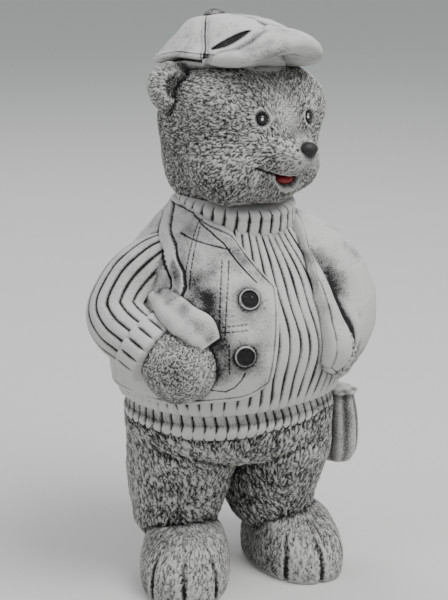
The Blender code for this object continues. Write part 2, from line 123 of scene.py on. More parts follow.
def turned(points, angle, place=(0, 0, 0)):
    c, s = math.cos(angle), math.sin(angle)
    return points @ np.array([[c, -s, 0], [s, c, 0], [0, 0, 1.0]]).T + np.asarray(place, float)


def bump(value, centre, reach):
    x = np.clip(np.abs(np.asarray(value) - centre) / reach, 0, 1)
    return (1 - x ** 2) ** 2


def ease(value, low, high):
    x = np.clip((np.asarray(value, float) - low) / (high - low), 0, 1)
    return x * x * (3 - 2 * x)


def ridge(value, width):
    # 1 on a line and fading to each side of it
    return np.exp(-(value / width) ** 2)


def unit(vectors):
    return vectors / np.maximum(np.linalg.norm(vectors, axis=-1, keepdims=True), 1e-9)


def softNoise(points, size, seed):
    # smooth noise in -1..1, the same each run
    q = np.asarray(points, float) / size + seed * 17.31
    base = np.floor(q).astype(np.int64)
    f = q - base
    f = f * f * (3 - 2 * f)
    total = 0
    for corner in range(8):
        step = np.array([corner & 1, corner >> 1 & 1, corner >> 2 & 1])
        cell = base + step
        mixed = (cell[..., 0] * 73856093) ^ (cell[..., 1] * 19349663) ^ (cell[..., 2] * 83492791)
        mixed = (mixed ^ (mixed >> 13)) * 1274126177 & 0x7FFFFFFF
        weight = np.prod(np.where(step, f, 1 - f), axis=-1)
        total = total + weight * ((mixed >> 8 & 0xFFFF) / 32767.5 - 1)
    return total


def swirl(points, size, seed):
    return np.stack([softNoise(points, size, seed + k) for k in range(3)], axis=-1)


def torsoSurface(angle, height, outward=0.0):
    def at(a, h):
        size = sectionAt(figure["torso"], h)
        return around(a, sectionRadius(a, size[..., 0], size[..., 1], size[..., 2]), h)
    angle, height, outward = np.broadcast_arrays(angle, height, outward)
    step = 1e-4
    place = at(angle, height)
    normal = unit(np.cross(at(angle + step, height) - place, at(angle, height + step) - place))
    return place + normal * outward[..., None]


def ballDistance(points, centre, radii):
    local = (points - np.array(centre, float)) / np.array(radii, float)
    near = np.linalg.norm(local, axis=-1)
    slope = np.linalg.norm(local / np.array(radii, float), axis=-1)
    return near * (near - 1) / np.maximum(slope, 1e-9)


def blended(first, second, width):
    mix = np.clip(0.5 + 0.5 * (second - first) / width, 0, 1)
    return second * (1 - mix) + first * mix - width * mix * (1 - mix)


def skinReach(directions, balls, blend, dents=()):
    near = np.zeros(directions.shape[:-1])
    far = np.full(directions.shape[:-1], 95.0)
    for _ in range(20):
        middle = (near + far) / 2
        points = directions * middle[..., None]
        distance = ballDistance(points, *balls[0])
        for ball in balls[1:]:
            distance = blended(distance, ballDistance(points, *ball), blend)
        for dent in dents:
            distance = -blended(-distance, ballDistance(points, *dent), blend * 0.3)
        near = np.where(distance < 0, middle, near)
        far = np.where(distance < 0, far, middle)
    return far


def globe(columns, rows, low=-88, high=88, crowd=0.0):
    # directions in rows from low to high degrees of rise, crowded towards the front
    angle = circle(columns)
    angle = angle - crowd * np.sin(angle)
    rise = np.radians(np.linspace(low, high, rows))[:, None]
    return np.stack(np.broadcast_arrays(
        np.sin(angle) * np.cos(rise), -np.cos(angle) * np.cos(rise), np.sin(rise)), axis=-1)


def tubeGrid(path, radii, angles, shape):
    # rings across a path, each radius plus shape(angle, share along)
    path = np.asarray(path, float)
    forward = unit(np.gradient(path, axis=0))
    side = np.cross(forward[0], (0, 0, 1.0))
    if np.linalg.norm(side) < 0.1:
        side = np.array([1.0, 0, 0])
    rings = []
    for i, (centre, ahead, radius) in enumerate(zip(path, forward, radii)):
        side = unit(side - ahead * side.dot(ahead))
        up = np.cross(side, ahead)
        share = i / (len(path) - 1)
        out = radius + shape(angles, share)
        rings.append(centre + np.outer(np.cos(angles) * out, side) + np.outer(np.sin(angles) * out, up))
    return np.array(rings)


# making a mesh and keeping what its surface needs


def count(number):
    return max(8, int(number * fineness))


def circle(columns):
    # angles evenly round a ring
    return np.arange(columns) * 2 * math.pi / columns


def evenly(values, share):
    # a smooth curve through values that lie evenly along it, at shares of its length
    return smoothThrough(np.linspace(0, 1, len(values)), values, share)


def spread(profile, number):
    # rows from a smooth curve through a profile's own rows
    return smoothThrough(np.arange(len(profile)), profile, np.linspace(0, len(profile) - 1, count(number)))


def withEnds(values, low=0, high=0):
    # one value a point of a closed grid, and one for the middle of each end
    return np.concatenate([np.ravel(values), [low, high]])


def ballGrid(columns, rows, balls, blend, dents=(), view=()):
    directions = globe(count(columns), count(rows), *view)
    return directions * skinReach(directions, balls, blend, dents)[..., None]


def gridFaces(rows, columns, wrap=True, ends=True, start=0):
    index = np.arange(rows * columns).reshape(rows, columns) + start
    left = index if wrap else index[:, :-1]
    right = np.roll(index, -1, axis=1) if wrap else index[:, 1:]
    quads = np.stack([left[:-1], right[:-1], right[1:], left[1:]], axis=-1).reshape(-1, 4)
    groups = [quads]
    if ends:
        low = start + rows * columns
        fans = [np.stack([np.full(columns, low), np.roll(index[0], -1), index[0]], axis=-1),
                np.stack([np.full(columns, low + 1), index[-1], np.roll(index[-1], -1)], axis=-1)]
        groups += fans
    return groups


def meshPiece(name, points, groups):
    mesh = bpy.data.meshes.new(name)
    corners = np.concatenate([g.ravel() for g in groups]).astype(np.int32)
    sizes = np.concatenate([np.full(len(g), g.shape[1]) for g in groups])
    mesh.vertices.add(len(points))
    mesh.vertices.foreach_set("co", ((points + axisShift) * part).ravel())
    mesh.loops.add(len(corners))
    mesh.loops.foreach_set("vertex_index", corners)
    mesh.polygons.add(len(sizes))
    mesh.polygons.foreach_set("loop_start", np.concatenate([[0], np.cumsum(sizes)[:-1]]).astype(np.int32))
    mesh.update(calc_edges=True)
    mesh.validate()
    piece = bpy.data.objects.new(name, mesh)
    bpy.context.scene.collection.objects.link(piece)
    return piece


def gridPiece(name, grid, wrap=True, ends=True):
    rows, columns = grid.shape[:2]
    points = grid.reshape(-1, 3)
    if not ends:
        return meshPiece(name, points, gridFaces(rows, columns, wrap, ends))
    points = np.concatenate([points, grid[0].mean(axis=0)[None], grid[-1].mean(axis=0)[None]])
    piece = meshPiece(name, points, gridFaces(rows, columns, wrap, ends))
    # a grid that was laid the other way round is turned to face outwards
    low, high = grid[:-1], grid[1:]
    facing = np.cross(np.roll(high, -1, axis=1) - low, high - np.roll(low, -1, axis=1))
    if (facing * (low - grid.reshape(-1, 3).mean(axis=0))).sum() < 0:
        piece.data.flip_normals()
    return piece


def surfaceOf(piece):
    mesh = piece.data
    total = len(mesh.vertices)
    points = np.empty(total * 3)
    normals = np.empty(total * 3)
    mesh.vertices.foreach_get("co", points)
    mesh.vertices.foreach_get("normal", normals)
    return points.reshape(-1, 3) / part - axisShift, normals.reshape(-1, 3)


def moveSurface(piece, points):
    piece.data.vertices.foreach_set("co", ((points + axisShift) * part).ravel())
    piece.data.update()


def neighbourMean(piece, values, times=1):
    edges = np.empty(len(piece.data.edges) * 2, np.int32)
    piece.data.edges.foreach_get("vertices", edges)
    a, b = edges.reshape(-1, 2).T
    total = len(values)
    weight = np.maximum(np.bincount(a, minlength=total) + np.bincount(b, minlength=total), 1)
    flat = values.reshape(total, -1).copy()
    for _ in range(times):
        for k in range(flat.shape[1]):
            gathered = np.bincount(a, flat[b, k], total) + np.bincount(b, flat[a, k], total)
            flat[:, k] = 0.5 * flat[:, k] + 0.5 * gathered / weight
    return flat.reshape(values.shape)


def keep(piece, material, grooves=None):
    # notes the piece's finish and how much darker it is: the dark wash its own carving holds, and in places
    # painted shade and painted highlight
    made.append((piece, material, np.zeros(len(piece.data.vertices)) if grooves is None else grooves))


def carve(points, normals, hair, flow, allowed):
    # short curved grooves, laid along the flow, as a modeller drags a tool through clay
    rng = np.random.default_rng(hair["seed"])
    tree = KDTree(len(points))
    for i, p in enumerate(points):
        tree.insert(p, i)
    tree.balance()
    grooves = np.zeros(len(points))
    nearest = np.array([tree.find_n(points[i], 4)[-1][2] for i in range(0, len(points), 7)])
    gaps = np.interp(np.arange(len(points)), np.arange(0, len(points), 7), nearest)
    chance = allowed * gaps ** 2
    strokes = hair["strokes"]
    picks = rng.choice(len(points), strokes, p=chance / chance.sum())
    lengths = rng.uniform(*hair["length"], strokes)
    widths = rng.uniform(*hair["width"], strokes)
    depths = rng.uniform(0.45, 1, strokes)
    veer = rng.normal(0, hair["scatter"], strokes)
    bends = rng.normal(0, hair["bend"], strokes)
    for k, pick in enumerate(picks):
        normal = normals[pick]
        along = flow[pick] - normal * flow[pick].dot(normal)
        along = along / max(np.linalg.norm(along), 1e-6)
        side = np.cross(normal, along)
        c, s = math.cos(veer[k]), math.sin(veer[k])
        along, side = along * c + side * s, side * c - along * s
        found = tree.find_range(points[pick], lengths[k] / 2 + widths[k])
        near = np.fromiter((hit[1] for hit in found), np.int64, len(found))
        away = points[near] - points[pick]
        u = away @ along
        v = away @ side - bends[k] * u * u
        taper = np.clip(1 - (2 * u / lengths[k]) ** 2, 0, 1)
        facing = normals[near] @ normal > 0.2
        mark = depths[k] * taper ** 0.6 * ridge(v, widths[k] * (0.35 + 0.3 * taper)) * facing
        grooves[near] = np.maximum(grooves[near], mark)
    return grooves


def furry(piece, material, hair, flowAt, where=None):
    points, normals = surfaceOf(piece)
    allowed = where(points) if where else np.ones(len(points))
    grooves = carve(points, normals, hair, flowAt(points, normals), np.maximum(allowed, 1e-6))
    grooves *= ease(allowed, 0, 0.5)
    lumps = 0.6 * softNoise(points, 9, 1) + 0.4 * softNoise(points, 4, 2)
    lift = -hair["depth"] * grooves + np.clip(allowed, 0, 1) * hair["lump"] * lumps
    moveSurface(piece, points + normals * lift[:, None])
    keep(piece, material, grooves)


# head


headShape = {
    "balls": [
        ((0, 0, 4), (53, 50, 48)),
        ((-25, -19, -19), (29, 28, 27)), ((22, -18, -17), (27, 27, 25)),
        ((0, 12, -24), (43, 37, 34)),
        ((0, -42, -9), (22, 26, 15)),
        ((0, -30, -30), (19, 19, 14)),
        ((-26, -13, 18), (28, 27, 26)), ((27, -13, 18), (31, 30, 27)),
    ],
    "blend": 9,
    "columns": 420, "rows": 216,
    "eyeAcross": 0.46, "eyeUp": 0.29, "eyeDiameter": 7.4, "glint": 0.85,
    "noseUp": -0.07, "noseRadii": (6.6, 5, 5),
    "mouthUp": -0.49, "mouthCurl": 0.22, "mouthAcross": 0.62,
    "openAcross": 0.25, "openDrop": 0.17, "tongueRadii": (8, 5, 3.2),
    "view": (-74, 56, 0.3),                   # degrees of rise below and above, and crowding
    "hair": {"seed": 11, "strokes": 19000, "length": (2.2, 5), "width": (0.45, 0.85),
             "scatter": 0.38, "bend": 0.06, "depth": 1.0, "lump": 0.8},
    "earPlace": (50, 8, 28), "earTurn": 0.2,
    "earBalls": [((0, 0, 0), (17, 9, 16.5))], "earDents": [((0, -12.5, 1), (11.5, 8.5, 11.5))],
    "earHair": {"strokes": 1500, "length": (2.2, 4.6), "width": (0.55, 0.95),
                "scatter": 0.45, "bend": 0.05, "depth": 0.9, "lump": 0.7},
}


def onFigureHead(points):
    leant = points.copy()
    leant[..., 2] -= figure["headLean"] * points[..., 0]
    return turned(leant, figure["headTurn"], figure["headPlace"])


def toHead(points):
    local = turned(points - np.array(figure["headPlace"], float), -figure["headTurn"])
    local[..., 2] += figure["headLean"] * local[..., 0]
    return local


def onHead(across, up, lift=0.0):
    direction = unit(np.array([[across, -1.0, up]]))
    reach = skinReach(direction, headShape["balls"], headShape["blend"])[0]
    return direction[0] * (reach + lift)


def headFlow(points, normals):
    local = toHead(points)
    fromNose = unit(local - np.array([0, -66, -12.0]))
    low = ease(-local[:, 2], -5, 30)[:, None]
    flow = fromNose * (1 - 0.55 * low) + np.array([0, 0.25, -1.0]) * 0.75 * low
    return unit(flow + 0.45 * swirl(local, 16, 3))


def smoothMuzzle(points):
    # fur fades out on the bridge of the muzzle, the lips and round the eyes
    local = toHead(points)
    bridge = bump(local[:, 0], 0, 15) * ease(-local[:, 1], 38, 50) * ease(local[:, 2], -22, -14)
    clear = 1 - 0.95 * bridge
    for side in (-1, 1):
        eye = onHead(side * headShape["eyeAcross"], headShape["eyeUp"])
        clear = clear * ease(np.linalg.norm(local - eye, axis=1), 4.5, 8)
    return clear


def carveFace(points):
    # the smile, the open mouth and the eye sockets, as an inward move in parts
    local = toHead(points)
    forward = np.maximum(-local[:, 1], 8)
    across = local[:, 0] / forward
    up = local[:, 2] / forward
    front = local[:, 1] < -12
    smile = headShape["mouthUp"] + headShape["mouthCurl"] * np.abs(across) ** 1.5
    above = (up - smile) * forward
    ends = ease(headShape["mouthAcross"] - np.abs(across), -0.02, 0.08)
    line = ridge(above, 0.95) * ends * front
    gape = np.sqrt(np.clip(1 - (across / headShape["openAcross"]) ** 2, 0, 1))
    gape = gape * headShape["openDrop"] * forward
    inside = ease(above + gape, -0.9, 0.5) * ease(-above, -1.0, 0.4) * (gape > 0.8) * front
    lip = ridge(above + gape + 1.7, 1.5) * (np.abs(across) < 0.3) * front
    cleft = ridge(local[:, 0], 0.7) * ease(above, 0.5, 1.5) * ease(8.5 - above, 0, 1.5) * front
    sockets = 0
    rims = 0
    for side in (-1, 1):
        eye = onHead(side * headShape["eyeAcross"], headShape["eyeUp"])
        away = np.linalg.norm(local - eye, axis=1)
        sockets = sockets + bump(away, 0, 6.2)
        rims = rims + ridge(away - 6.6, 1.2)
    inward = 1.9 * line + 6.5 * inside + 0.8 * cleft + 1.8 * sockets - 0.6 * rims - 0.6 * lip * (1 - inside)
    # darker in the carved smile and cleft, and painted shade in the mouth's opening and the eye sockets
    dark = np.clip(line + inside * 0.8 + 0.5 * cleft + 0.9 * sockets, 0, 1)
    return inward, dark


def makeHead():
    grid = ballGrid(headShape["columns"], headShape["rows"], headShape["balls"], headShape["blend"],
                    view=headShape["view"])
    head = gridPiece("head", onFigureHead(grid))
    furry(head, "furStone", headShape["hair"], headFlow, smoothMuzzle)
    points, _ = surfaceOf(head)
    inward, dark = carveFace(points)
    moveSurface(head, points - unit(points - np.array(figure["headPlace"], float)) * inward[:, None])
    local = toHead(points)
    # painted light on the face: a painted highlight on the muzzle's bridge, and painted shade under the chin
    # and at the mouth's corner
    bridge = bump(local[:, 0], 0, 18) * ease(-local[:, 1], 34, 48) * ease(local[:, 2], -20, -10)
    chinShade = ease(-local[:, 2], 18, 40) + 0.7 * bump(np.linalg.norm(local - [-24, -42, -22], axis=1), 0, 16)
    grooves = made[-1][2]
    grooves[:] = np.maximum(grooves * (1 - 0.5 * bridge) - 0.35 * bridge + 0.3 * chinShade, dark * 1.3)


def makeEar(side):
    grid = ballGrid(150, 96, headShape["earBalls"], 6, headShape["earDents"])
    place = (side * headShape["earPlace"][0],) + headShape["earPlace"][1:]
    grid = onFigureHead(turned(grid, side * headShape["earTurn"], place))
    ear = gridPiece("rightEar" if side < 0 else "leftEar", grid)
    centre = onFigureHead(np.array([place], float))[0]
    hair = dict(headShape["earHair"], seed=21 + side)
    furry(ear, "furStone", hair, lambda p, n: unit(p - centre + np.array([0, 6, 0.0])))
    points, _ = surfaceOf(ear)
    # painted shade in the ear's hollow
    earHollowShade = bump(np.linalg.norm(points - centre - np.array([0, -7, 0.0]), axis=1), 0, 9)
    made[-1][2][:] = np.maximum(made[-1][2], earHollowShade * 0.75)


def makeNoseAndEyes():
    grid = ballGrid(60, 40, [((0, 0, 0), headShape["noseRadii"])], 3)
    narrow = 1 - 0.28 * ease(-grid[..., 2], -3, 6)      # narrower below
    grid[..., 0] *= narrow
    for side in (-1, 1):
        nostril = np.exp(-((grid[..., 0] - side * 3.3) / 1.0) ** 2 - ((grid[..., 2] + 1.6) / 1.3) ** 2)
        grid[..., 1] += 1.6 * nostril * (grid[..., 1] < 0)
    nose = gridPiece("nose", onFigureHead(turned(grid, 0, onHead(0, headShape["noseUp"], -0.6))))
    keep(nose, "noseBlack")
    for side, name in ((-1, "right"), (1, "left")):
        radius = headShape["eyeDiameter"] / 2
        ball = globe(count(48), count(32)) * radius
        seat = onHead(side * headShape["eyeAcross"], headShape["eyeUp"], -2.0)
        keep(gridPiece(name + "Eye", onFigureHead(ball + seat)), "eyeBlack")
        # a painted highlight: a small white dot on each eye, turned towards the camera
        dot = globe(16, 12) * headShape["glint"] + unit(np.array([-0.55, -0.8, 0.12])) * (radius - 0.15)
        keep(gridPiece(name + "EyeGlint", onFigureHead(dot + seat)), "glintWhite")


def makeTongue():
    tongue = globe(count(40), count(26)) * np.array(headShape["tongueRadii"])
    tongue[..., 2] -= 0.8 * ridge(tongue[..., 0], 1.4) * (tongue[..., 2] > 0)
    seat = onHead(0, headShape["mouthUp"] - headShape["openDrop"] * 0.75, -7.5)
    keep(gridPiece("tongue", onFigureHead(tongue + seat)), "tongueRed")


# cap


cap = {
    "place": (-1, 5, 0), "turn": 0.02, "rise": 45, "droop": 0.2,
    "visorSpan": 66, "visorThickness": 17,
    # rise over the brow, half width, reach in front and behind, how far back the middle lies
    "crown": [
        (-12, 29, 31, 30, 0), (-1.5, 40, 42, 41, 0), (1, 40.5, 42.5, 41.5, 0),
        (3, 46.5, 49.5, 47, 0), (6, 46, 53, 46.5, 0.5), (9, 42.5, 53, 42.5, 1.5),
        (14, 37.7, 54, 35.5, 4), (18.4, 33.4, 54, 29, 6), (23, 29, 51, 23.5, 8),
        (26.3, 25, 43.5, 17, 10), (28.6, 20, 35.5, 11.5, 11.5), (29.6, 12, 24, 7, 13),
        (30, 3, 4, 3, 14),
    ],
    "panelSeams": (-184, -124, -64, -4, 56, 116),   # degrees
    "slotDegrees": (-60, -45, -20, 0), "slotRises": (8.5, 13.5, 23, 28),
    "buttonDiameter": 15, "buttonPlace": (-1, 19, 72.4),
}


def placeCap(points):
    return onFigureHead(turned(points, cap["turn"], cap["place"]))


def makeCapCrown():
    columns = count(400)
    angle = np.arange(columns) * 2 * math.pi / columns
    wrapped = (np.degrees(angle) + 180) % 360 - 180
    fromSeam = np.min([np.abs((wrapped - s + 180) % 360 - 180) for s in cap["panelSeams"]], axis=0)
    arch = 11 * bump(wrapped, 0, 65)
    grid = []
    grooves = []
    for rise, half, front, back, middle in spread(cap["crown"], 150):
        radius = sectionRadius(angle, half, front, back)
        away = np.radians(fromSeam) * radius
        seam = ridge(away, 0.75) + 0.35 * ridge(away - 2.4, 0.5)
        body = ease(rise, 2, 4) * ease(half, 4, 12)
        slotRise = np.interp(wrapped, cap["slotDegrees"], cap["slotRises"])
        slotHalf = 2.1 * np.sqrt(bump(wrapped, -40, 20)) + 0.01
        slot = np.exp(-((rise - slotRise) / slotHalf) ** 4) * ease(slotHalf, 0.1, 0.8)
        radius = radius + body * (1.6 * ease(away, 0, 9) - 1.2 - 0.9 * seam)
        bandLine = ridge(rise - 1.2, 0.9) + 0.4 * ridge(rise - 6.0, 0.5)
        radius = radius - 0.9 * bandLine - 2.6 * slot
        height = cap["rise"] + rise + arch * np.clip((9 - rise) / 9, 0, 1)
        ring = around(angle, radius, height) + np.array([0, middle, 0.0])
        ring[:, 2] -= cap["droop"] * np.maximum(ring[:, 1], 0)
        grid.append(ring)
        grooves.append(np.clip(0.8 * seam * body + bandLine + slot, 0, 1))
    grid = np.array(grid)
    dents = softNoise(grid, 13, 6) * 0.5 + softNoise(grid, 5, 7) * 0.2
    grid = grid + unit(grid - np.array([0, 4, cap["rise"] - 5.0])) * dents[..., None]
    crown = gridPiece("capCrown", placeCap(grid))
    keep(crown, "clothStone", withEnds(grooves))


def makeCapVisor():
    span = math.radians(cap["visorSpan"])
    sections = count(190)
    turn = np.linspace(0, math.pi, count(84))
    grid = []
    for angle in np.linspace(-span, span, sections):
        swell = math.cos(angle * 90 / 70)
        reach = 46 + 20 * swell
        low = 43.5 + 10 * float(bump(angle, 0, math.radians(40)))
        half = cap["visorThickness"] * (0.2 + 0.8 * swell ** 0.7) / 2
        radius = 28 + (reach - 28) * np.sin(turn) ** 0.6
        height = low + half + half * np.sign(np.cos(turn)) * np.abs(np.cos(turn)) ** 0.8
        grid.append(around(angle, radius, height))
    grid = np.array(grid)
    grid[..., 2] += 0.5 * softNoise(grid, 12, 8)
    visor = gridPiece("capVisor", placeCap(grid))
    keep(visor, "clothStone")


def makeCapButton():
    radius = cap["buttonDiameter"] / 2
    ball = globe(count(56), count(30)) * np.array([radius, radius, radius * 0.6])
    button = gridPiece("capButton", onFigureHead(ball + np.array(cap["buttonPlace"])))
    keep(button, "clothStone", np.full(len(button.data.vertices), 0.75))


# jumper


jumper = {
    "ribDepth": 1.9,
    # how many ribs go round, and how many columns of mesh each has
    "bodyRibs": (58, 10), "collarRibs": (30, 12), "sleeveRibs": (15, 14), "cuffRibs": (15, 12),
    "collarRadius": 34.5, "collarThickness": 4.5, "cuffWidth": 18, "cuffThickness": 3,
}


def ribRing(ribs, perRib):
    # angles round a knitted ring, and its grooves: 1 in the bottom, 0 on the crown of a rib
    angle = circle(ribs * max(6, int(perRib * fineness)))
    return angle, (1 - np.abs(np.sin(ribs * angle / 2))) ** 2.2


def makeTorso():
    angle, groove = ribRing(*jumper["bodyRibs"])
    heights = np.concatenate([[127.5, 126.6, 127.2, 128.2], np.linspace(130, 262, count(84))])
    tuck = np.concatenate([[-12, -2.2, -0.7, -0.1], np.zeros(count(84))])
    grid = []
    grooves = []
    for height, inward in zip(heights, tuck):
        stray = 0.018 * np.sin(height / 21 + 3 * angle) + 0.012 * np.sin(height / 8.5 + 5 * angle)
        worn = 0.8 + 0.35 * np.sin(height / 6.1 + 40 * np.sin(angle * 9))
        grid.append(torsoSurface(angle + stray, height, inward - jumper["ribDepth"] * groove * worn))
        grooves.append(groove * np.clip(0.75 + 0.3 * worn, 0, 1) * 0.95)
    keep(gridPiece("jumper", np.array(grid)), "knitStone", withEnds(grooves))


def makeWelt():
    angle, groove = ribRing(*jumper["bodyRibs"])
    heights = np.linspace(109, 131, count(26))
    out = smoothThrough((109, 113, 124, 131), (-2, 0, 0.6, -2), heights)
    grid = []
    for height, outward in zip(heights, out):
        size = sectionAt(figure["hips"], min(height, 119))
        stray = 0.01 * math.sin(height / 3)
        radius = sectionRadius(angle + stray, *size) + outward - jumper["ribDepth"] * 0.7 * groove
        grid.append(around(angle + stray, radius, height))
    welt = gridPiece("jumperWelt", np.array(grid))
    faint = np.tile(0.35 + 0.45 * groove, (len(heights), 1)) * (0.8 + 0.3 * softNoise(np.array(grid), 9, 15))
    keep(welt, "knitStone", 0.6 * withEnds(faint) + 0.16)


def makeCollar():
    angle, groove = ribRing(*jumper["collarRibs"])
    stations = (-13, -11.5, -6, 3, 9.5, 12)
    rises = np.linspace(-13, 12, count(40))
    swells = smoothThrough(stations, (-0.9, 0.35, 1, 1.05, 0.55, -0.9), rises)
    grid = []
    for rise, swell in zip(rises, swells):
        stray = 0.02 * math.sin(rise / 4.5)
        radius = jumper["collarRadius"] + jumper["collarThickness"] * swell
        radius = radius - jumper["ribDepth"] * groove * np.clip(swell + 0.4, 0, 1)
        grid.append(around(angle + stray, radius, 251 + rise - 6 * np.cos(angle)) + np.array([2, -5, 0.0]))
    keep(gridPiece("poloNeck", np.array(grid)), "knitStone", withEnds(np.tile(groove, len(rises))))


def makeSleeve(name, route, armRadii):
    angle, groove = ribRing(*jumper["sleeveRibs"])
    along = np.linspace(0, 1, count(120))

    def ribShape(angles, share):
        return -jumper["ribDepth"] * groove * (0.85 + 0.25 * math.sin(share * 31))
    grid = tubeGrid(evenly(route, along), evenly(armRadii, along), angle, ribShape)
    keep(gridPiece(name, grid), "knitStone", withEnds(np.tile(groove, len(along))))


def makeCuff():
    angle, groove = ribRing(*jumper["cuffRibs"])
    wrist = np.array(figure["rightArm"][-1], float)
    ahead = unit(wrist - np.array(figure["rightArm"][-3], float))
    steps = np.linspace(-0.55, 0.55, count(26))
    path = [wrist + ahead * (s * jumper["cuffWidth"] + 4) for s in steps]
    full = figure["rightArmRadii"][-1] + jumper["cuffThickness"]
    radii = full * (1 - 0.2 * ease(-steps, 0.42, 0.56) - 0.3 * ease(steps, 0.38, 0.56))
    grid = tubeGrid(path, radii, angle, lambda a, s: -1.7 * groove)
    grooves = np.outer(1 - ease(np.abs(steps), 0.42, 0.5), groove * 0.8)
    grooves = grooves - 0.6 * ease(steps, 0.36, 0.46)[:, None]
    keep(gridPiece("cuff", grid), "knitStone", withEnds(grooves))


# waistcoat


waistcoat = {
    "thickness": 3.4,
    "rightEdge": -8, "leftEdge": 15,          # degrees, the two front edges
    "topDegrees": (-345, -341, -337, -325, -310, -290, -262, -85, -34, -15, -8),
    "topHeights": (198, 216, 230, 243, 251, 256, 258, 258, 244, 219, 209),
    "bottomDegrees": (-345, -338, -331, -326, -320, -312, -300, -262, -70, -41, -27, -20, -14, -10, -8),
    "bottomHeights": (157, 147, 143.5, 143.5, 145, 147, 145, 133, 134, 138.5, 139.5, 141.5, 145.5, 150, 157),
    # degrees and height of the middle of the armhole's band
    "armholeBand": [(-112, 249), (-100, 243), (-90.5, 236.5), (-78, 230.5), (-71, 223), (-65, 217),
                    (-62.5, 210), (-66, 198), (-74, 184)],
    "bandHalfWidth": 4.8,
    # stations, reach and strength of the runs of painted shade
    "shadeRuns": [
        ([(-43, 202), (-41, 191), (-40.5, 179), (-41, 160)], 7, 0.6),
        ([(-66, 219), (-60.5, 212), (-54, 207), (-48, 203)], 6, 0.45),
        ([(-44, 243), (-30, 231), (-16, 217)], 4.5, 0.3),
        ([(20, 158), (28, 150), (36, 150)], 5, 0.3),
    ],
    # the left panel's forms, and its painted shade in the hollow and the crease with one painted highlight
    # where the amount is below 0: amount, middle and reach in degrees, the same in height
    "panelForms": ((3.5, 19, 8, 195, 50), (7, 24, 13, 164, 22), (-8, 32, 10, 201, 26), (-4, 30, 4, 176, 28)),
    "panelShades": ((0.5, 31, 10, 201, 24), (0.7, 30, 3.2, 176, 26), (0.3, 19, 6, 226, 14),
                    (0.42, 17, 7, 194, 17), (-0.2, 24, 8, 184, 4)),
    # runs of degrees and height: rows of stitching, and seams or scratches
    "stitching": [
        [(-40.5, 226), (-40.5, 181)], [(-36.5, 226), (-38, 181)],
        [(-39, 189), (-28, 190)], [(-39, 185.5), (-28, 186.5)],
        [(-63.5, 248.5), (-59.5, 210), (-58, 190)], [(-60.5, 248.5), (-56.5, 210)],
        [(-36, 160), (-36, 178)],
    ],
    "seams": [
        [(-74, 239), (-55, 235.5), (-36, 232)],
        [(-63, 247), (-50, 241.5), (-39.5, 235), (-21, 213.5)],
        [(-29, 160), (-30.5, 156), (-33.5, 151), (-38, 148), (-44, 149)],
        [(30, 226), (40, 223)], [(28, 221), (38, 217)], [(22, 213), (34, 209)],
        [(19, 186), (27, 184), (34, 186)], [(24, 178), (26, 166), (31, 154)],
        [(20, 172), (22, 158)], [(34, 172), (38, 158)],
    ],
    "buttonDiameter": 13.5, "buttonHeight": 1.6,
    # radius share and height share of a turned button with a raised rim
    "buttonProfile": [(1, -2), (1, 0), (1.0, 0.6), (0.97, 0.95), (0.91, 1.0), (0.85, 0.9), (0.8, 0.5),
                      (0.62, 0.35), (0.3, 0.5), (0.02, 0.45)],
    "buttons": {"upperButton": (-26, 204), "lowerButton": (-29, 171)},   # degrees and height
}


def onPanel(table, degrees, height):
    return sum(amount * bump(degrees, middle, reach) * bump(height, level, rise)
               for amount, middle, reach, level, rise in table)


def armBulge(degrees, height):
    along = np.interp(height, (134, 150, 168, 186, 205, 226, 246), (2, 7, 16, 20, 18, 11, 0))
    return bump(degrees, 63, 51) * along + onPanel(waistcoat["panelForms"], degrees, height)


def lineDistance(points, line):
    # how far each point is from a line of points, and how far along it that is
    line = np.asarray(line, float)
    best = np.full(len(points), 1e9)
    where = np.zeros(len(points))
    run = 0.0
    for start, end in zip(line[:-1], line[1:]):
        span = end - start
        length = np.linalg.norm(span)
        t = np.clip((points - start) @ span / length ** 2, 0, 1)
        away = np.linalg.norm(points - start - t[:, None] * span, axis=1)
        where = np.where(away < best, run + t * length, where)
        best = np.minimum(best, away)
        run += length
    return best, where


def stampLine(points, line, width, dash, gap):
    # 1 on the line, which may be broken into dashes
    away, along = lineDistance(points, line)
    mark = ridge(away, width)
    return mark * ((along % (dash + gap)) < dash) if dash else mark


def onCoat(degrees, heights, outward=0.0):
    return torsoSurface(np.radians(degrees), heights, waistcoat["thickness"] + outward)


def lineOnCoat(stations):
    # a line of points close together, through stations of degrees and height
    stations = np.array(stations, float)
    at = np.linspace(0, len(stations) - 1, 8 * len(stations))
    return onCoat(*[np.interp(at, np.arange(len(stations)), column) for column in stations.T])


def coatEdge(edge, degrees):
    # heights of the top or bottom edge, with its corners softened
    heights = np.interp(degrees, waistcoat[edge + "Degrees"], waistcoat[edge + "Heights"])
    smooth = np.hanning(23)[1:-1] / np.hanning(23).sum()
    return np.convolve(np.pad(heights, 10, "edge"), smooth, "valid")


